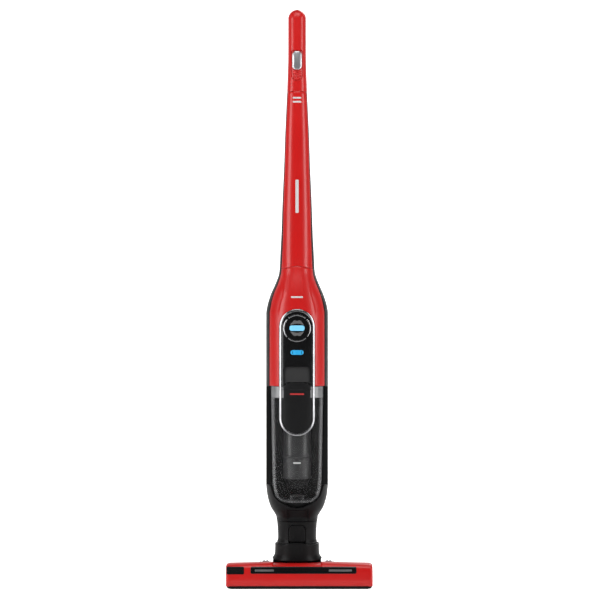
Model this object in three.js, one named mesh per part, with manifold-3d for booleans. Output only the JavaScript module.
// Cordless upright (stick) vacuum cleaner, built as separate pieces.
// Millimetres, +Z up, front towards -Y. The origin is on the floor, under the middle of the bounding box.
import * as THREE from 'three';
import { mergeVertices } from 'three/addons/utils/BufferGeometryUtils.js';
import Module from 'manifold-3d';

const wasm = await Module();
wasm.setup();

// ---------------------------------------------------------------- driving dimensions

const GAP = 0.3; // clearance between pieces that touch
const BODY_X = - 4.5; // the stick stands a little to the left of the nozzle's middle
const WIDE = 80; // half-width of a cutting solid that has to clear the stick

// Outside of the stick: height, half-width, front and rear, from the chin to the top of the grip.
const STICK = [
	[ 126, 41.5, - 40, 44 ], [ 132, 42, - 42, 47 ], [ 140, 46, - 46, 52 ], [ 150, 52.3, - 51, 57 ],
	[ 162, 57, - 55.5, 62.5 ], [ 180, 61, - 60, 69 ], [ 200, 62.8, - 62, 74 ], [ 260, 62.8, - 62, 78 ],
	[ 543, 62.8, - 61, 77 ], [ 557, 60.7, - 58.5, 75.5 ], [ 578, 54.7, - 54.5, 72 ],
	[ 604, 43.5, - 47, 65 ], [ 614, 39.6, - 43.5, 61 ], [ 624, 36.6, - 40, 57 ],
	[ 636, 35.3, - 36.5, 53 ], [ 660, 34.2, - 31.5, 46.5 ], [ 703, 31.9, - 27, 40 ], [ 753, 30.2, - 24, 36 ],
	[ 845, 26.3, - 19.5, 31 ], [ 905, 24.3, - 16, 29.5 ], [ 997, 20.2, - 10, 30 ],
	[ 1073, 18.2, - 4.35, 33 ], [ 1145, 18.2, 1, 37 ], [ 1153, 16.5, 3.5, 35.5 ], [ 1158, 12, 8.5, 31 ],
	[ 1160, 6, 14, 26 ],
];
const STICK_SIDES = 24;
const STICK_FRONT_POWER = 2.2; // how square the front of a section is, 2 being an ellipse
const STICK_REAR_POWER = 2.6;
const STICK_WIDEST = 2; // the widest line lies this far behind the middle of a section
const DOME_BASE = 1150; // above this the grip closes, so a wall's inside is lower as well

// Side view of the joint between the front shells and the rear shells: height, depth.
const SHELL_SPLIT = [ [ 100, - 28 ], [ 543, - 28 ], [ 600, - 20 ], [ 636, - 14 ], [ 753, - 6.4 ], [ 905, - 1 ], [ 1000, 3 ] ];
const GRIP_SPLIT = [ [ 970, 10 ], [ 1073, 16 ], [ 1170, 21 ] ];

const CHIN_BOTTOM = 126;
const CRADLE_TOP = 200;
const HOUSING_BOTTOM = 398;
const HOUSING_TOP = 638; // at the middle of the curved joint with the handle
const GRIP_BOTTOM = 991;
const SEAM_DROP = 5; // the curved joints are this much lower at the sides
const SHELL_WALL = 2.5;

// Long oval inlay on the front, shared by the display panel and the container's cover.
const OVAL_RADIUS = 35.8;
const OVAL_TOP_CENTRE = 516;
const OVAL_BOTTOM_CENTRE = 335.5;
const OVAL_BAND = 5;

// Dust container: height, half-width, front. Its back and its sides are flat.
const CONTAINER = [
	[ 165, 30, - 50 ], [ 168, 37.5, - 52.5 ], [ 176, 44, - 55.5 ], [ 190, 47.5, - 57.5 ],
	[ 206, 49.2, - 58.7 ], [ 374.5, 52.2, - 60 ],
];
const CONTAINER_BACK = 14;
const CONTAINER_SHOULDER = - 26; // where the flat sides begin to curve to the front
const CONTAINER_SIDES = 14;
const RIM_BOTTOM = 375;
const RIM_TOP = 397.6;
const FILTER_Y = - 18;
const FILTER_RADIUS = 28.5;

// Nozzle, seen from the side: depth and height round its red cover.
const NOZZLE_PROFILE = [
	[ 12, 7 ], [ 14, 20 ], [ 12, 34 ], [ 2, 42 ], [ - 25, 44.5 ], [ - 46, 46.3 ], [ - 56, 50 ],
	[ - 66, 52 ], [ - 76, 51.5 ], [ - 84, 48 ], [ - 88.5, 41 ], [ - 90, 30 ], [ - 90, 16 ], [ - 88.5, 7 ],
];
const NOZZLE_HALF = 145;
const NOZZLE_CROWN = 3.5; // how much lower the top is at the ends
const SOLE_TOP = 6.6;
const NOTCH_HALF = 52.5;
const NOTCH_FRONT = - 19.4;
const TILT_Y = 4;
const TILT_Z = 28;
const BARREL_RADIUS = 22;
const BRUSH_Y = - 60;
const BRUSH_Z = 21;
const BRUSH_LEFT = - 122;
const BRUSH_RIGHT = 118;
const WHEEL_Y = 75.1;
const WHEEL_RADIUS = 16;
const WHEEL_X = 65; // from the stick's axis
const NECK_RADIUS = 40;
const COLLAR_TOP = 79.4;
const MOTOR_Y = 10;

// ---------------------------------------------------------------- finishes

function finish( color, roughness, metalness = 0 ) {

	return { color, roughness, metalness };

}

const RED = finish( 0xc4201f, 0.25 );
const BLACK = finish( 0x1b1b1c, 0.45 );
const GLOSS_BLACK = finish( 0x09090a, 0.08 );
const CHARCOAL = finish( 0x2a2a2c, 0.5 );
const SMOKED = finish( 0x3a3c3e, 0.1 );
const GREY = finish( 0x55575a, 0.4 );
const CHROME = finish( 0xd5d6d8, 0.12, 1 );
const SILVER = finish( 0xb9babc, 0.3, 0.8 );
const LIGHT_BLUE = finish( 0x6bb8dc, 0.3 );
const STEEL = finish( 0x8d8f92, 0.35, 1 );
const RUBBER = finish( 0x161616, 0.8 );
const PAPER = finish( 0xd9d6cc, 0.9 );
const BOARD = finish( 0x1f5a36, 0.5 );
const BRISTLE = finish( 0x3c3c3f, 0.85 );
const WHITE = finish( 0xe6e6e4, 0.5 );

// ---------------------------------------------------------------- solids

// A closed geometry becomes a solid that can be cut and joined.
function solid( geometry ) {

	const bare = geometry.clone();
	bare.deleteAttribute( 'normal' );
	bare.deleteAttribute( 'uv' );
	const merged = mergeVertices( bare, 1e-4 );
	const vertProperties = new Float32Array( merged.attributes.position.array );
	const triVerts = new Uint32Array( merged.index.array );
	return new wasm.Manifold( new wasm.Mesh( { numProp: 3, vertProperties, triVerts } ) );

}

function block( x0, x1, y0, y1, z0, z1 ) {

	const geometry = new THREE.BoxGeometry( x1 - x0, y1 - y0, z1 - z0 );
	geometry.translate( ( x0 + x1 ) / 2, ( y0 + y1 ) / 2, ( z0 + z1 ) / 2 );
	return solid( geometry );

}

// Round bar along x, y or z. `centre` gives the other two coordinates in their x, y, z order.
function bar( axis, radius, from, to, centre, sides = 20, endRadius = radius ) {

	const geometry = new THREE.CylinderGeometry( endRadius, radius, to - from, sides );
	const middle = ( from + to ) / 2;
	if ( axis === 'x' ) geometry.rotateZ( - Math.PI / 2 ).translate( middle, centre[ 0 ], centre[ 1 ] );
	if ( axis === 'y' ) geometry.translate( centre[ 0 ], middle, centre[ 1 ] );
	if ( axis === 'z' ) geometry.rotateX( Math.PI / 2 ).translate( centre[ 0 ], centre[ 1 ], middle );
	return solid( geometry );

}

// Flat outline pushed through the thickness from `from` to `to`.
// Plane 'xy' is pushed along z, 'xz' along y and 'yz' along x.
function plate( plane, outline, from, to, hole ) {

	const shape = new THREE.Shape( outline.map( ( p ) => new THREE.Vector2( p[ 0 ], p[ 1 ] ) ) );
	if ( hole ) shape.holes.push( new THREE.Path( hole.map( ( p ) => new THREE.Vector2( p[ 0 ], p[ 1 ] ) ) ) );
	const geometry = new THREE.ExtrudeGeometry( shape, { depth: to - from, bevelEnabled: false } );
	if ( plane === 'xy' ) geometry.translate( 0, 0, from );
	if ( plane === 'xz' ) geometry.rotateX( Math.PI / 2 ).translate( 0, to, 0 );
	if ( plane === 'yz' ) geometry.rotateZ( Math.PI / 2 ).rotateY( Math.PI / 2 ).translate( from, 0, 0 );
	return solid( geometry );

}

// Solid carried through a row of rings that have the same number of points.
function loft( rings ) {

	const count = rings[ 0 ].length;
	const points = rings.flat();
	const index = [];
	for ( let r = 0; r < rings.length - 1; r ++ ) {

		for ( let i = 0; i < count; i ++ ) {

			const a = r * count + i;
			const b = r * count + ( i + 1 ) % count;
			index.push( a, b, b + count, a, b + count, a + count );

		}

	}

	const last = ( rings.length - 1 ) * count;
	const start = points.push( middleOf( rings[ 0 ] ) ) - 1;
	const end = points.push( middleOf( rings[ rings.length - 1 ] ) ) - 1;
	for ( let i = 0; i < count; i ++ ) {

		const next = ( i + 1 ) % count;
		index.push( start, next, i, end, last + i, last + next );

	}

	const geometry = new THREE.BufferGeometry().setFromPoints( points );
	geometry.setIndex( index );
	return solid( geometry );

}

function middleOf( ring ) {

	const sum = ring.reduce( ( total, p ) => total.add( p ), new THREE.Vector3() );
	return sum.divideScalar( ring.length );

}

function union( first, ...rest ) {

	return rest.reduce( ( total, next ) => total.add( next ), first );

}

function cut( first, ...rest ) {

	return rest.reduce( ( total, next ) => total.subtract( next ), first );

}

function common( first, ...rest ) {

	return rest.reduce( ( total, next ) => total.intersect( next ), first );

}

function piece( parent, name, shape, look ) {

	const mesh = shape.getMesh();
	const geometry = new THREE.BufferGeometry();
	geometry.setAttribute( 'position', new THREE.BufferAttribute( new Float32Array( mesh.vertProperties ), 3 ) );
	geometry.setIndex( new THREE.BufferAttribute( new Uint32Array( mesh.triVerts ), 1 ) );
	geometry.computeVertexNormals();
	const item = new THREE.Mesh( geometry, new THREE.MeshStandardMaterial( look ) );
	item.name = name;
	parent.add( item );

}

// ---------------------------------------------------------------- outlines

function arc( cx, cy, radius, from, to, steps ) {

	const points = [];
	for ( let i = 0; i <= steps; i ++ ) {

		const angle = from + ( to - from ) * i / steps;
		points.push( [ cx + radius * Math.cos( angle ), cy + radius * Math.sin( angle ) ] );

	}

	return points;

}

function circle( cx, cy, radius, steps ) {

	return arc( cx, cy, radius, 0, 2 * Math.PI * ( 1 - 1 / steps ), steps - 1 );

}

// Upright oval with half-round ends.
function oval( radius, topCentre, bottomCentre, steps = 10 ) {

	return [ ...arc( 0, topCentre, radius, 0, Math.PI, steps ), ...arc( 0, bottomCentre, radius, Math.PI, 2 * Math.PI, steps ) ];

}

// Rectangle with round corners.
function rounded( x0, x1, y0, y1, radius, steps = 3 ) {

	const quarter = Math.PI / 2;
	return [
		...arc( x1 - radius, y1 - radius, radius, 0, quarter, steps ),
		...arc( x0 + radius, y1 - radius, radius, quarter, 2 * quarter, steps ),
		...arc( x0 + radius, y0 + radius, radius, 2 * quarter, 3 * quarter, steps ),
		...arc( x1 - radius, y0 + radius, radius, 3 * quarter, 4 * quarter, steps ),
	];

}

// One ring round the stick: half an oval to the front and a squarer half to the rear.
function stickRing( [ z, half, front, rear ], inset ) {

	const widest = ( front + rear ) / 2 + STICK_WIDEST;
	const height = z > DOME_BASE ? z - Math.max( inset, 0 ) : z;
	const ring = [];
	for ( let i = 0; i < STICK_SIDES; i ++ ) {

		const angle = 2 * Math.PI * i / STICK_SIDES;
		const power = 2 / ( Math.sin( angle ) < 0 ? STICK_FRONT_POWER : STICK_REAR_POWER );
		const depth = Math.sin( angle ) < 0 ? widest - front - inset : rear - inset - widest;
		const x = ( half - inset ) * Math.sign( Math.cos( angle ) ) * Math.abs( Math.cos( angle ) ) ** power;
		const y = widest + depth * Math.sign( Math.sin( angle ) ) * Math.abs( Math.sin( angle ) ) ** power;
		ring.push( new THREE.Vector3( x, y, height ) );

	}

	return ring;

}

// The whole stick, drawn in by `inset` all round (drawn out where it is negative).
function stick( inset ) {

	return loft( STICK.map( ( station ) => stickRing( station, inset ) ) );

}

// Part of the stick's skin between two depths under its surface.
function skin( outer, inner ) {

	return stick( outer ).subtract( stick( inner ) );

}

// Everything in front of, or behind, a line drawn in the side view.
function sideRegion( line, edge, shift ) {

	const outline = line.map( ( [ z, y ] ) => [ y + shift, z ] );
	const bottom = line[ 0 ][ 0 ];
	const top = line[ line.length - 1 ][ 0 ];
	const loop = edge < 0 ? [ ...outline, [ edge, top ], [ edge, bottom ] ] : [ ...outline.reverse(), [ edge, bottom ], [ edge, top ] ];
	return plate( 'yz', loop, - WIDE, WIDE );

}

// Everything between two curved seams, each lower at the sides of the stick.
function between( low, high, lowDrop = SEAM_DROP, highDrop = SEAM_DROP, reach = 36 ) {

	const steps = 8;
	const lowLine = [];
	const highLine = [];
	for ( let i = 0; i <= steps; i ++ ) {

		const x = - WIDE + 2 * WIDE * i / steps;
		const bend = Math.min( Math.abs( x ) / reach, 1 ) ** 2;
		lowLine.push( [ x, low - lowDrop * bend ] );
		highLine.unshift( [ x, high - highDrop * bend ] );

	}

	return plate( 'xz', [ ...lowLine, ...highLine ], - 120, 120 );

}

// ---------------------------------------------------------------- groups

const vacuum = new THREE.Group();
const stickGroup = new THREE.Group();
stickGroup.position.x = BODY_X;
vacuum.add( stickGroup );

// ---------------------------------------------------------------- shells of the stick

const front = sideRegion( SHELL_SPLIT, - 120, - GAP / 2 );
const rear = sideRegion( SHELL_SPLIT, 120, GAP / 2 );
const gripFront = sideRegion( GRIP_SPLIT, - 120, - GAP / 2 );
const gripRear = sideRegion( GRIP_SPLIT, 120, GAP / 2 );
const ovalHole = plate( 'xz', oval( OVAL_RADIUS + GAP, OVAL_TOP_CENTRE, OVAL_BOTTOM_CENTRE ), - 120, - 20 );
const wall = skin( 0, SHELL_WALL );

function frontHousing() {

	const part = common( wall, front, between( HOUSING_BOTTOM, HOUSING_TOP, 0 ) );
	return cut( part, ovalHole );

}

function handleFrontShell() {

	return common( wall, front, between( HOUSING_TOP + GAP, GRIP_BOTTOM ) );

}

function handleRearShell() {

	return common( wall, rear, between( HOUSING_TOP + GAP, GRIP_BOTTOM ) );

}

// Straight slope of the grip's front, which the power switch slides along.
const SWITCH_SLOPE = ( 1 + 10 ) / ( 1145 - 997 );
const SWITCH_TOP = 1073;
const SWITCH_BOTTOM = 1035.5;
const SLOT_TOP = 1074.5;
const SLOT_BOTTOM = 1012.3;
const SLOT_HALF = 12;

function slopeSlab( low, high ) {

	const from = 1000;
	const to = 1100;
	const lineAt = ( z, depth ) => [ - 10 + ( z - 997 ) * SWITCH_SLOPE + depth, z ];
	return plate( 'yz', [ lineAt( from, low ), lineAt( from, high ), lineAt( to, high ), lineAt( to, low ) ], - 30, 30 );

}

function slotOutline( grow ) {

	const half = SLOT_HALF + grow;
	const lower = arc( 0, SLOT_BOTTOM + SLOT_HALF, half, Math.PI, 2 * Math.PI, 8 );
	return [ [ half - 2, SLOT_TOP + grow ], [ - half + 2, SLOT_TOP + grow ], [ - half, SLOT_TOP + grow - 2 ], ...lower, [ half, SLOT_TOP + grow - 2 ] ];

}

function gripFrontShell() {

	const part = common( wall, gripFront, between( GRIP_BOTTOM + GAP, 1180, SEAM_DROP, 0 ) );
	return cut( part, plate( 'xz', slotOutline( 0 ), - 60, 14 ) );

}

function gripRearShell() {

	return common( wall, gripRear, between( GRIP_BOTTOM + GAP, 1180, SEAM_DROP, 0 ) );

}

function switchTrack() {

	return common( slopeSlab( 4, 6.5 ), plate( 'xz', slotOutline( - GAP ), - 60, 40 ) );

}

function powerSwitch() {

	const corner = 4;
	const half = 10;
	const outline = [
		[ half, SWITCH_BOTTOM + corner ], [ half, SWITCH_TOP - corner ], [ half - corner, SWITCH_TOP ],
		[ - half + corner, SWITCH_TOP ], [ - half, SWITCH_TOP - corner ], [ - half, SWITCH_BOTTOM + corner ],
		[ - half + corner, SWITCH_BOTTOM ], [ half - corner, SWITCH_BOTTOM ],
	];
	return common( slopeSlab( - 6, 4 - GAP ), plate( 'xz', outline, - 60, 40 ), stick( - 1.5 ) );

}

// Rear window for the exhaust grille, and the bay that the dust container slides into.
const GRILLE_HALF = 32;
const GRILLE_BOTTOM = 432;
const GRILLE_TOP = 518;

// Front view of the dust container, wider all round by `grow`, open at the top.
function containerOutline( grow ) {

	const right = CONTAINER.map( ( [ z, half ] ) => [ half + grow, z - grow ] );
	const top = [ CONTAINER[ 5 ][ 1 ] + grow + 1, HOUSING_BOTTOM - 0.1 + grow ];
	const left = [ ...right, top ].map( ( [ x, z ] ) => [ - x, z ] ).reverse();
	return [ ...right, top, ...left ];

}

const bay = plate( 'xz', containerOutline( GAP * 2 ), - 120, CONTAINER_BACK + 3 );

function rearShell() {

	const part = common( skin( 0, 3 ), rear, between( CRADLE_TOP + GAP, HOUSING_TOP, 0 ) );
	const window = block( - GRILLE_HALF - GAP, GRILLE_HALF + GAP, 40, 90, GRILLE_BOTTOM - GAP, GRILLE_TOP + GAP );
	const screwHoles = screwPlaces.map( ( [ x, z ] ) => bar( 'y', SCREW_RADIUS + GAP, 40, 95, [ x, z ], 10 ) );
	return cut( part, bay, window, ...screwHoles );

}

const SCREW_RADIUS = 3;
const screwPlaces = [ [ - 36, 225 ], [ 36, 225 ], [ - 24, 590 ], [ 24, 590 ] ];

function shellScrew( [ x, z ] ) {

	return common( bar( 'y', SCREW_RADIUS, 44, 90, [ x, z ], 10 ), skin( 1.2, 6 ) );

}

function exhaustGrille() {

	const frame = block( - GRILLE_HALF, GRILLE_HALF, 40, 90, GRILLE_BOTTOM, GRILLE_TOP );
	const slots = [];
	for ( let z = GRILLE_BOTTOM + 8; z < GRILLE_TOP - 6; z += 15 ) {

		slots.push( block( - GRILLE_HALF + 5, GRILLE_HALF - 5, 40, 90, z, z + 8 ) );

	}

	return cut( common( skin( 0, 3 ), frame ), ...slots );

}

// Lower cradle: carries the container and plugs onto the neck.
const SOCKET_Z = 185;

function cradle() {

	const body = common( stick( 0 ), between( CHIN_BOTTOM, CRADLE_TOP, 0, 0 ) );
	const rearRoom = common( stick( 3.5 ), block( - WIDE, WIDE, CONTAINER_BACK + 6, 90, 168, 220 ) );
	const lip = [ [ - 47, 176 ], [ - 30, 163 ], [ - 15, 157 ], [ 0, 155 ], [ 15, 157 ], [ 30, 163 ], [ 47, 176 ], [ 47, 230 ], [ - 47, 230 ] ];
	const spigotBore = bar( 'z', 21.4, 100, 150.5, [ 0, 0 ], 24 );
	const duct = bar( 'z', 12, 145, 170, [ 0, FILTER_Y ], 16 );
	const chinRecess = plate( 'xz', rounded( - 20, 21, 110, 151.5, 6 ), - 120, - 43 );
	const recess = common( chinRecess, skin( - 5, 5 ) );
	return cut(
		body, rearRoom, bay, spigotBore, duct, recess,
		plate( 'xz', lip, - 120, - 44 ),
		bar( 'y', 7.3, 40, 90, [ 0, SOCKET_Z ], 16 ),
	);

}

function chargingSocket() {

	return cut( bar( 'y', 7, 56, 69, [ 0, SOCKET_Z ], 16 ), bar( 'y', 4, 60, 80, [ 0, SOCKET_Z ], 12 ) );

}

piece( stickGroup, 'front_housing', frontHousing(), RED );
piece( stickGroup, 'handle_front_shell', handleFrontShell(), RED );
piece( stickGroup, 'handle_rear_shell', handleRearShell(), BLACK );
piece( stickGroup, 'grip_front_shell', gripFrontShell(), RED );
piece( stickGroup, 'grip_rear_shell', gripRearShell(), BLACK );
piece( stickGroup, 'switch_track', switchTrack(), RED );
piece( stickGroup, 'power_switch', powerSwitch(), SILVER );
piece( stickGroup, 'rear_shell', rearShell(), BLACK );
piece( stickGroup, 'exhaust_grille', exhaustGrille(), CHARCOAL );
piece( stickGroup, 'container_cradle', cradle(), BLACK );
piece( stickGroup, 'charging_socket', chargingSocket(), CHARCOAL );
screwPlaces.forEach( ( place, i ) => piece( stickGroup, `shell_screw_${ i + 1 }`, shellScrew( place ), STEEL ) );

// ---------------------------------------------------------------- display and its trim

const COVER_SEAM = 398;
const LATCH_TOP = 405;
const FINGER_TOP = 431;
const FINGER_BOTTOM = 409;
const upperHalf = block( - WIDE, WIDE, - 120, - 20, COVER_SEAM + GAP / 2, 700 );
const lowerHalf = block( - WIDE, WIDE, - 120, - 20, 250, COVER_SEAM - GAP / 2 );

function ovalBand() {

	const outer = oval( OVAL_RADIUS, OVAL_TOP_CENTRE, OVAL_BOTTOM_CENTRE );
	const inner = oval( OVAL_RADIUS - OVAL_BAND, OVAL_TOP_CENTRE, OVAL_BOTTOM_CENTRE );
	return common( plate( 'xz', outer, - 120, - 20, inner ), skin( - 1.2, 4 ) );

}

// Front view of the latch, a tab with sloping shoulders.
function latchOutline( grow ) {

	const half = 27.7 + grow;
	const top = 18.9 + grow;
	return [
		[ - half, 391.3 - grow ], [ half, 391.3 - grow ], [ half, COVER_SEAM + grow ],
		[ top, LATCH_TOP - GAP + grow ], [ - top, LATCH_TOP - GAP + grow ], [ - half, COVER_SEAM + grow ],
	];

}

function ovalFill( outer, inner ) {

	const radius = OVAL_RADIUS - OVAL_BAND - GAP;
	return common( plate( 'xz', oval( radius, OVAL_TOP_CENTRE, OVAL_BOTTOM_CENTRE ), - 120, - 20 ), skin( outer, inner ) );

}

const latchHole = plate( 'xz', latchOutline( GAP ), - 120, - 40 );
const fingerOutline = rounded( - 21, 21, FINGER_BOTTOM, FINGER_TOP, 6 );

function displayPanel() {

	const window = plate( 'xz', fingerOutline, - 120, - 20 );
	return cut( common( ovalFill( 0, 4 ), upperHalf ), latchHole, window );

}

// Cup behind the panel's finger window, so a finger can reach the latch.
function fingerCup() {

	const outer = plate( 'xz', rounded( - 24, 24, FINGER_BOTTOM - 3, FINGER_TOP + 3, 7 ), - 80, - 44 );
	const inner = plate( 'xz', fingerOutline, - 90, - 46.5 );
	return cut( common( outer, stick( 4.4 ) ), inner );

}

// Thin pieces set on the panel, such as the ring and the two lit windows.
function onPanel( outline, hole, proud ) {

	return common( plate( 'xz', outline, - 120, - 20, hole ), skin( - GAP - proud, - GAP ) );

}

const RING_Z = 514;
const BATTERY_LENS_Z = 465.7;

piece( stickGroup, 'upper_trim_band', common( ovalBand(), upperHalf ), CHROME );
piece( stickGroup, 'display_panel', displayPanel(), GLOSS_BLACK );
piece( stickGroup, 'finger_cup', fingerCup(), GLOSS_BLACK );
piece( stickGroup, 'display_ring', onPanel( circle( 0, RING_Z, 27.8, 24 ), circle( 0, RING_Z, 24, 24 ), 1 ), CHROME );
piece( stickGroup, 'run_light_lens', onPanel( rounded( - 15, 15, RING_Z - 5.3, RING_Z + 5.3, 5.2, 4 ), null, 0.7 ), LIGHT_BLUE );
piece( stickGroup, 'battery_light_lens', onPanel( rounded( - 13, 13, BATTERY_LENS_Z - 4.6, BATTERY_LENS_Z + 4.6, 3 ), null, 0.7 ), LIGHT_BLUE );

// ---------------------------------------------------------------- inside the stick

const DECK_BOTTOM = HOUSING_BOTTOM + GAP;
const DECK_TOP = 402;
const FAN_BOTTOM = 404;
const FAN_TOP = 413;
const MOTOR_TOP = 500;
const MOTOR_RADIUS = 36;

// Back wall of the container bay with the deck that the suction motor sits over.
function innerChassis() {

	const deck = common( stick( 3.6 ), block( - WIDE, WIDE, - 42, 90, DECK_BOTTOM, DECK_TOP ) );
	const backWall = block( - 50, 50, CONTAINER_BACK + 3.3, CONTAINER_BACK + 5.5, 203, DECK_TOP - 1 );
	return cut( union( deck, backWall ), bar( 'z', 22, 380, 420, [ 0, FILTER_Y + 10 ], 20 ) );

}

function fan() {

	const disc = bar( 'z', 33, FAN_BOTTOM, FAN_BOTTOM + 2, [ 0, MOTOR_Y ], 20 );
	const hub = bar( 'z', 8, FAN_BOTTOM, FAN_TOP, [ 0, MOTOR_Y ], 12 );
	const shaft = bar( 'z', 3, FAN_BOTTOM, MOTOR_TOP - 20, [ 0, MOTOR_Y ], 10 );
	const blades = [];
	for ( let i = 0; i < 7; i ++ ) {

		const blade = new THREE.BoxGeometry( 27, 1.6, FAN_TOP - FAN_BOTTOM - 1 );
		blade.translate( 18.5, 0, ( FAN_BOTTOM + FAN_TOP - 1 ) / 2 );
		blade.rotateZ( 2 * Math.PI * i / 7 ).translate( 0, MOTOR_Y, 0 );
		blades.push( solid( blade ) );

	}

	return union( disc, hub, shaft, ...blades );

}

function suctionMotor() {

	const can = bar( 'z', MOTOR_RADIUS, FAN_TOP + 3, MOTOR_TOP - 14, [ 0, MOTOR_Y ], 24 );
	const cap = bar( 'z', 22, MOTOR_TOP - 20, MOTOR_TOP, [ 0, MOTOR_Y ], 20 );
	return cut( union( can, cap ), bar( 'z', 3.5, FAN_TOP, MOTOR_TOP - 18, [ 0, MOTOR_Y ], 10 ) );

}

function motorMount() {

	const ring = bar( 'z', 41, 440, 452, [ 0, MOTOR_Y ], 24 );
	return cut( ring, bar( 'z', MOTOR_RADIUS + GAP, 430, 460, [ 0, MOTOR_Y ], 24 ) );

}

function batteryPack() {

	return plate( 'xy', rounded( - 42, 42, 23, 58, 8 ), 208, 385 );

}

piece( stickGroup, 'inner_chassis', innerChassis(), BLACK );
piece( stickGroup, 'motor_fan', fan(), WHITE );
piece( stickGroup, 'suction_motor', suctionMotor(), STEEL );
piece( stickGroup, 'motor_mount', motorMount(), RUBBER );
piece( stickGroup, 'battery_pack', batteryPack(), CHARCOAL );
piece( stickGroup, 'exhaust_filter', block( - 29, 29, 54, 63, 436, 514 ), PAPER );
piece( stickGroup, 'control_board', block( - 27, 27, - 41, - 39.4, 445, 548 ), BOARD );
piece( stickGroup, 'switch_board', block( - 7, 7, 14, 15.6, 1010, 1078 ), BOARD );

// ---------------------------------------------------------------- dust container

// Ring round the container: flat back and sides, oval front.
function containerRing( z, half, frontAt, back ) {

	const ring = [ new THREE.Vector3( half, back, z ), new THREE.Vector3( - half, back, z ) ];
	for ( let i = 0; i <= CONTAINER_SIDES; i ++ ) {

		const angle = Math.PI + Math.PI * i / CONTAINER_SIDES;
		const power = 2 / STICK_FRONT_POWER;
		const x = half * Math.sign( Math.cos( angle ) ) * Math.abs( Math.cos( angle ) ) ** power;
		const y = CONTAINER_SHOULDER - ( CONTAINER_SHOULDER - frontAt ) * Math.abs( Math.sin( angle ) ) ** power;
		ring.push( new THREE.Vector3( x, y, z ) );

	}

	return ring;

}

// The clear bucket's wall is thicker in front, where the cover lies on it.
const BUCKET_WALL = 2.2;
const BUCKET_FLOOR = 2.3;
const COVER_SEAT = 8;

function bucketInside() {

	const rings = CONTAINER.map( ( [ z, half, frontAt ], i ) => {

		const height = i < 3 ? z + BUCKET_FLOOR : z;
		return containerRing( height, half - BUCKET_WALL, frontAt + COVER_SEAT, CONTAINER_BACK - BUCKET_WALL );

	} );
	const [ , half, frontAt ] = CONTAINER[ 5 ];
	rings.push( containerRing( 380, half - BUCKET_WALL, frontAt + COVER_SEAT, CONTAINER_BACK - BUCKET_WALL ) );
	return loft( rings );

}

// Seat that the cover and its trim band take out of the container's front.
const coverSeat = cut( plate( 'xz', oval( OVAL_RADIUS + GAP, OVAL_TOP_CENTRE, OVAL_BOTTOM_CENTRE ), - 120, - 30 ), stick( 5.3 ) );

function bucket() {

	const outside = loft( CONTAINER.map( ( [ z, half, frontAt ] ) => containerRing( z, half, frontAt, CONTAINER_BACK ) ) );
	const hollow = cut( outside, bucketInside(), coverSeat );
	const inletPipe = bar( 'z', 14, 166, 176, [ 0, FILTER_Y ], 20 );
	return cut( union( hollow, inletPipe ), bar( 'z', 11, 150, 180, [ 0, FILTER_Y ], 16 ) );

}

function rim() {

	const outside = loft( [ RIM_BOTTOM, RIM_TOP ].map( ( z ) => containerRing( z, 52.6, - 60.4, CONTAINER_BACK ) ) );
	const inside = loft( [ RIM_BOTTOM - 5, RIM_TOP - 3.6 ].map( ( z ) => containerRing( z, 49.6, - 50.5, CONTAINER_BACK - 3 ) ) );
	return cut( outside, inside, coverSeat, bar( 'z', 20, 380, 410, [ 0, FILTER_Y + 10 ], 20 ) );

}

function containerCover() {

	return cut( common( ovalFill( 0, 5 ), lowerHalf ), latchHole );

}

// The latch moves back 1.5 mm into the room left in front of the rim.
const LATCH_THICKNESS = 3;

function containerLatch() {

	return common( plate( 'xz', latchOutline( 0 ), - 120, - 40 ), skin( 0, LATCH_THICKNESS ) );

}

function tube( outer, inner, from, to, sides = 24 ) {

	const hollow = bar( 'z', inner, from - 1, to + 1, [ 0, FILTER_Y ], sides );
	return cut( bar( 'z', outer, from, to, [ 0, FILTER_Y ], sides ), hollow );

}

function pleatedFilter() {

	const pleats = 18;
	const outline = [];
	for ( let i = 0; i < 2 * pleats; i ++ ) {

		const radius = i % 2 ? 24.5 : 18;
		const angle = Math.PI * i / pleats;
		outline.push( [ radius * Math.cos( angle ), FILTER_Y + radius * Math.sin( angle ) ] );

	}

	return plate( 'xy', outline, 262, 392, circle( 0, FILTER_Y, 12, 12 ) );

}

function filterHousing() {

	const cup = bar( 'z', FILTER_RADIUS, 255.3, 393.6, [ 0, FILTER_Y ], 24 );
	return cut( cup, bar( 'z', 26, 258, 400, [ 0, FILTER_Y ], 24 ) );

}

piece( stickGroup, 'dust_container', bucket(), SMOKED );
piece( stickGroup, 'container_rim', rim(), GREY );
piece( stickGroup, 'container_cover', containerCover(), CHARCOAL );
piece( stickGroup, 'lower_trim_band', common( ovalBand(), lowerHalf ), CHROME );
piece( stickGroup, 'container_latch', containerLatch(), CHARCOAL );
piece( stickGroup, 'filter_housing', filterHousing(), GLOSS_BLACK );
piece( stickGroup, 'pleated_filter', pleatedFilter(), PAPER );
piece( stickGroup, 'mesh_screen', tube( FILTER_RADIUS, 26, 212, 255 ), CHARCOAL );
piece( stickGroup, 'cyclone_cone', bar( 'z', 19, 192, 211.7, [ 0, FILTER_Y ], 24, 26 ), BLACK );
piece( stickGroup, 'inlet_flap', bar( 'z', 14, 176.4, 178, [ 0, FILTER_Y ], 20 ), RUBBER );

// ---------------------------------------------------------------- neck and tilting collar

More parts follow.
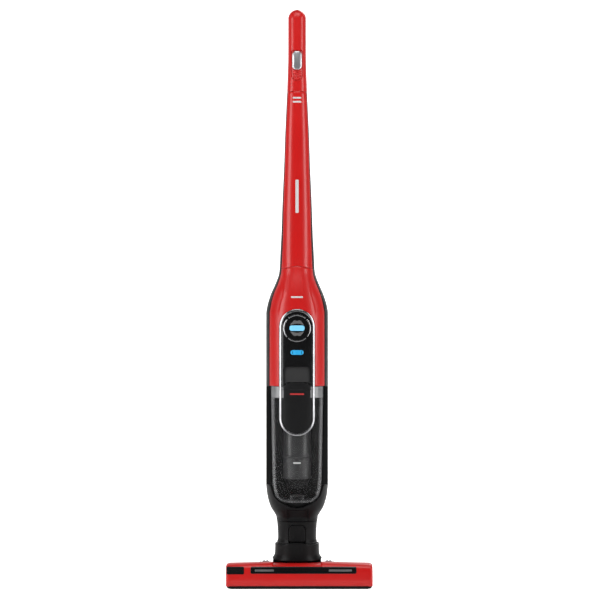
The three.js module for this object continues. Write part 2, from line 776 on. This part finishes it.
// Round neck: swivels in the collar below and carries the stick on its upper spigot.
function neck() {

	const profile = [
		[ 17.5, 56.3 ], [ 30, 56.3 ], [ 30, 79.7 ], [ NECK_RADIUS, 79.7 ], [ NECK_RADIUS, 84 ], [ 38.6, 88 ],
		[ 39.2, 108 ], [ 41, 125.7 ], [ 21, 125.7 ], [ 21, 150 ], [ 17.5, 150 ], [ 17.5, 56.3 ],
	];
	const points = profile.map( ( [ r, z ] ) => new THREE.Vector2( r, z ) );
	const geometry = new THREE.LatheGeometry( points, 24 );
	geometry.rotateX( Math.PI / 2 );
	const pocket = plate( 'xz', keyOutline( 0.4 ), - 60, - 32.5 );
	return cut( solid( geometry ), pocket );

}

const KEY_HALF = 17;
const KEY_BOTTOM = 87;
const KEY_TOP = 119;

function keyOutline( grow ) {

	return rounded( - KEY_HALF - grow, KEY_HALF + grow, KEY_BOTTOM - grow, KEY_TOP + grow, 6 );

}

function ellipseRing( z, half, frontAt, rearAt ) {

	const ring = [];
	for ( let i = 0; i < STICK_SIDES; i ++ ) {

		const angle = 2 * Math.PI * i / STICK_SIDES;
		const depth = Math.sin( angle ) < 0 ? - frontAt : rearAt;
		ring.push( new THREE.Vector3( half * Math.cos( angle ), depth * Math.sin( angle ), z ) );

	}

	return ring;

}

// Tilting collar: a barrel between the nozzle's arms, with a flared cup for the neck on top.
function collar() {

	const cup = loft( [
		ellipseRing( 47.5, 50, - 46.5, 34 ), ellipseRing( 51, 49.6, - 46.5, 36 ), ellipseRing( 55, 46, - 45.3, 38 ),
		ellipseRing( 58, 44.8, - 44.8, 41 ), ellipseRing( 85, 44.5, - 44.5, 44.5 ),
	] );
	const frontArch = [ [ - 60, COLLAR_TOP ], [ - 30, COLLAR_TOP ], [ - 18, 82.5 ], [ 0, 84.4 ], [ 18, 82.5 ], [ 30, COLLAR_TOP ], [ 60, COLLAR_TOP ], [ 60, 100 ], [ - 60, 100 ] ];
	const barrel = bar( 'x', BARREL_RADIUS, - 49, 49, [ TILT_Y, TILT_Z ], 20 );
	const trunk = block( - 40, 40, - 15, 24, TILT_Z, 52 );
	const pinBore = bar( 'x', 5.3, - 60, 60, [ TILT_Y, TILT_Z ], 16 );
	return cut(
		union( cup, barrel, trunk ),
		plate( 'xz', frontArch, - 60, - 20 ),
		block( - 60, 60, - 20, 60, COLLAR_TOP, 100 ),
		bar( 'z', NECK_RADIUS + 0.6, COLLAR_TOP, 100, [ 0, 0 ], 24 ),
		bar( 'z', 30.4, 56, 100, [ 0, 0 ], 24 ),
		bar( 'z', 16, TILT_Z, 60, [ 0, 0 ], 12 ),
		block( - 16, 16, - 30, 2, 17, 39 ),
		cut( pinBore, block( - 43, 43, - 30, 30, 0, 60 ) ),
	);

}

piece( stickGroup, 'neck', neck(), BLACK );
piece( stickGroup, 'release_key', plate( 'xz', keyOutline( 0 ), - 43, - 36 ), BLACK );
piece( stickGroup, 'tilt_collar', collar(), BLACK );
for ( const [ side, name ] of [ [ - 1, 'left' ], [ 1, 'right' ] ] ) {

	const ends = [ side * 44, side * 58 ].sort( ( a, b ) => a - b );
	piece( stickGroup, `pivot_pin_${ name }`, bar( 'x', 5, ends[ 0 ], ends[ 1 ], [ TILT_Y, TILT_Z ], 16 ), STEEL );

}

// ---------------------------------------------------------------- nozzle

// The nozzle's outside, grown by `grow`; the crown lowers the top towards the ends.
function nozzleBody( grow ) {

	const stations = [ [ - 145, - 4 ], [ - 143.5, - 1.5 ], [ - 140, 0 ], [ - 70, 0 ], [ 0, 0 ], [ 70, 0 ], [ 140, 0 ], [ 143.5, - 1.5 ], [ 145, - 4 ] ];
	return loft( stations.map( ( [ x, shrink ] ) => nozzleRing( x, grow, shrink ) ) );

}

function nozzleRing( x, grow, shrink ) {

	const middle = [ - 40, 26 ];
	const reach = NOZZLE_HALF + grow;
	return NOZZLE_PROFILE.map( ( [ y, z ] ) => {

		const high = z > 30 ? z - NOZZLE_CROWN * ( x / NOZZLE_HALF ) ** 2 * ( z - 30 ) / 22 : z;
		const away = new THREE.Vector2( y - middle[ 0 ], high - middle[ 1 ] );
		const push = new THREE.Vector2( Math.sign( away.x ), Math.sign( away.y ) ).multiplyScalar( grow + shrink );
		return new THREE.Vector3( x * reach / NOZZLE_HALF, y + push.x, high + push.y );

	} );

}

const nozzleOutside = nozzleBody( 0 );
const notch = block( BODY_X - NOTCH_HALF, BODY_X + NOTCH_HALF, NOTCH_FRONT, 120, - 5, 80 );

// Rear arms that hold the tilting collar and the wheels.
const ARM_INSIDE = 52.5;
const ARM_OUTSIDE = 76;
const ARM_PROFILE = [ [ - 22, 7 ], [ 81, 7 ], [ 85, 12 ], [ 85, 20 ], [ 79, 26 ], [ 60, 31 ], [ 20, 38.5 ], [ - 22, 44 ] ];

function arm( side ) {

	const ends = [ BODY_X + side * ARM_INSIDE, BODY_X + side * ARM_OUTSIDE ].sort( ( a, b ) => a - b );
	const slot = [ BODY_X + side * ( WHEEL_X - 7.2 ), BODY_X + side * ( WHEEL_X + 7.2 ) ].sort( ( a, b ) => a - b );
	return cut(
		plate( 'yz', ARM_PROFILE, ends[ 0 ], ends[ 1 ] ),
		block( slot[ 0 ], slot[ 1 ], WHEEL_Y - WHEEL_RADIUS - 2, 100, - 5, 60 ),
	);

}

const brushWay = union(
	bar( 'x', 19.2, - 160, - 124, [ BRUSH_Y, BRUSH_Z ], 24 ),
	block( - 160, - 124, BRUSH_Y - 19.2, BRUSH_Y + 19.2, - 5, BRUSH_Z ),
);

function nozzleCover() {

	const inside = common( nozzleBody( - 2.5 ), block( - 160, 160, - 120, 9.5, 0, 80 ) );
	const below = block( - 141, 141, - 86, 9.5, 0, 20 );
	const bridge = block( BODY_X - 56, BODY_X + 56, NOTCH_FRONT - 2.6, NOTCH_FRONT, 7, 42 );
	const shell = cut( nozzleOutside, inside, below );
	const ductWindow = block( BODY_X - 20, BODY_X + 20, - 40, - 10, 13, 38 );
	return cut(
		union( shell, bridge, arm( - 1 ), arm( 1 ) ),
		notch, brushWay, ductWindow,
		bar( 'x', 5.3, BODY_X - 59, BODY_X + 59, [ TILT_Y, TILT_Z ], 16 ),
		bar( 'x', 2.8, BODY_X - 75, BODY_X + 75, [ WHEEL_Y, WHEEL_RADIUS ], 12 ),
	);

}

// Sole plate: U-shaped runners at floor height and the suction mouth between them.
function solePlate() {

	const slab = plate( 'xy', rounded( - 141, 141, - 88, 10, 5 ), 1, SOLE_TOP );
	const frontRunner = block( - 136, 136, - 87, - 80.5, 0, 3 );
	const leftRunner = block( - 139.5, - 129, - 82, 6, 0, 3 );
	const rightRunner = block( 129, 139.5, - 82, 6, 0, 3 );
	return cut(
		union( slab, frontRunner, leftRunner, rightRunner ),
		block( - 126, 126, - 80, - 35, - 5, 20 ),
		block( - 160, - 120, - 79.5, - 40.5, - 5, 20 ),
		notch,
	);

}

// Half-round tunnel over the brush, open below and at the left.
function brushTunnel() {

	const from = - 0.6;
	const to = Math.PI + 0.6;
	const outline = [ ...arc( BRUSH_Y, BRUSH_Z, 21.5, from, to, 18 ), ...arc( BRUSH_Y, BRUSH_Z, 19.2, to, from, 18 ) ];
	const window = block( BODY_X - 20, BODY_X + 20, BRUSH_Y, 0, 13, 36 );
	return cut( plate( 'yz', outline, - 123.5, 118.5 ), window );

}

function suctionDuct() {

	const outer = block( BODY_X - 19.6, BODY_X + 19.6, - 38, NOTCH_FRONT - 0.3, 13.4, 35.6 );
	return cut( outer, block( BODY_X - 17.5, BODY_X + 17.5, - 60, 0, 15.5, 33.5 ) );

}

// Brush: a core with four twisted rows of bristles.
function brushRoller() {

	const rows = 4;
	const steps = 12;
	const rings = [];
	for ( let s = 0; s <= steps; s ++ ) {

		const x = BRUSH_LEFT + ( BRUSH_RIGHT - BRUSH_LEFT ) * s / steps;
		const turn = Math.PI * s / steps;
		const ring = [];
		for ( let i = 0; i < rows * 3; i ++ ) {

			const radius = i % 3 === 0 ? 18 : 13;
			const angle = turn + 2 * Math.PI * i / ( rows * 3 );
			ring.push( new THREE.Vector3( x, BRUSH_Y + radius * Math.cos( angle ), BRUSH_Z + radius * Math.sin( angle ) ) );

		}

		rings.push( ring );

	}

	return union( loft( rings ), bar( 'x', 4, BRUSH_LEFT - 4, BRUSH_LEFT + 2, [ BRUSH_Y, BRUSH_Z ], 12 ) );

}

function brushEndCap() {

	const disc = bar( 'x', 18.8, - 144.6, - 124.5, [ BRUSH_Y, BRUSH_Z ], 24 );
	return cut( disc, bar( 'x', 4.4, - 127, - 120, [ BRUSH_Y, BRUSH_Z ], 12 ), block( - 150, - 120, - 90, - 30, - 5, 1.5 ) );

}

// Thin piece that lies on the nozzle's front.
function onNozzle( x0, x1, z0, z1, radius, low, high ) {

	const outline = plate( 'xz', rounded( x0, x1, z0, z1, radius ), - 120, - 70 );
	return cut( common( nozzleBody( high ), outline ), nozzleBody( low ) );

}

function nozzleLabel() {

	return onNozzle( - 96, 112.7, 30.6, 44, 3.5, GAP, 1.1 );

}

function brushLatch() {

	const base = onNozzle( - 138, - 108, 29.5, 44, 2.5, 0.4, 0.8 );
	const rib = onNozzle( - 128, - 115, 35, 38, 1, 0.6, 1.1 );
	return union( base, rib );

}

// Outline of a belt round two wheels.
function beltOutline( radiusA, centreA, radiusB, centreB ) {

	const dy = centreB[ 0 ] - centreA[ 0 ];
	const dz = centreB[ 1 ] - centreA[ 1 ];
	const heading = Math.atan2( dz, dy );
	const lean = Math.acos( ( radiusA - radiusB ) / Math.hypot( dy, dz ) );
	return [
		...arc( centreA[ 0 ], centreA[ 1 ], radiusA, heading + lean, heading + 2 * Math.PI - lean, 12 ),
		...arc( centreB[ 0 ], centreB[ 1 ], radiusB, heading - lean, heading + lean, 8 ),
	];

}

const BRUSH_MOTOR = [ - 6, 24 ];
const PULLEY = [ BRUSH_Y, BRUSH_Z ];
const PULLEY_RADIUS = 12;
const PINION_RADIUS = 6;

function driveBelt() {

	const outer = beltOutline( PULLEY_RADIUS + 1.8, PULLEY, PINION_RADIUS + 1.8, BRUSH_MOTOR );
	const inner = beltOutline( PULLEY_RADIUS + 0.4, PULLEY, PINION_RADIUS + 0.4, BRUSH_MOTOR );
	return plate( 'yz', outer, 121, 126, inner );

}

function brushPulley() {

	return union(
		bar( 'x', PULLEY_RADIUS, 120, 127, PULLEY, 16 ),
		bar( 'x', 13.9, 127, 128.5, PULLEY, 16 ),
		bar( 'x', 5, 118.6, 132, PULLEY, 12 ),
	);

}

function motorPinion() {

	return union( bar( 'x', PINION_RADIUS, 120, 127, BRUSH_MOTOR, 14 ), bar( 'x', 2, 113.5, 128, BRUSH_MOTOR, 8 ) );

}

function brushMotor() {

	return cut( bar( 'x', 14, 73, 114.5, BRUSH_MOTOR, 20 ), bar( 'x', 2.4, 113, 118, BRUSH_MOTOR, 8 ) );

}

function wheel( side ) {

	const ends = [ BODY_X + side * ( WHEEL_X - 6.5 ), BODY_X + side * ( WHEEL_X + 6.5 ) ].sort( ( a, b ) => a - b );
	const place = [ WHEEL_Y, WHEEL_RADIUS ];
	return cut( bar( 'x', WHEEL_RADIUS, ends[ 0 ], ends[ 1 ], place, 20 ), bar( 'x', 2.8, - 160, 160, place, 10 ) );

}

function wheelAxle( side ) {

	const ends = [ BODY_X + side * 54, BODY_X + side * 74.5 ].sort( ( a, b ) => a - b );
	return bar( 'x', 2.5, ends[ 0 ], ends[ 1 ], [ WHEEL_Y, WHEEL_RADIUS ], 8 );

}

piece( vacuum, 'nozzle_cover', nozzleCover(), RED );
piece( vacuum, 'sole_plate', solePlate(), BLACK );
piece( vacuum, 'brush_tunnel', brushTunnel(), BLACK );
piece( vacuum, 'suction_duct', suctionDuct(), BLACK );
piece( vacuum, 'nozzle_label', nozzleLabel(), GLOSS_BLACK );
piece( vacuum, 'brush_latch', brushLatch(), BLACK );
piece( vacuum, 'brush_roller', brushRoller(), BRISTLE );
piece( vacuum, 'brush_end_cap', brushEndCap(), BLACK );
piece( vacuum, 'brush_motor', brushMotor(), STEEL );
piece( vacuum, 'motor_pinion', motorPinion(), STEEL );
piece( vacuum, 'brush_pulley', brushPulley(), CHARCOAL );
piece( vacuum, 'drive_belt', driveBelt(), RUBBER );
for ( const [ side, name ] of [ [ - 1, 'left' ], [ 1, 'right' ] ] ) {

	piece( vacuum, `wheel_${ name }`, wheel( side ), RUBBER );
	piece( vacuum, `wheel_axle_${ name }`, wheelAxle( side ), STEEL );

}

export default vacuum;
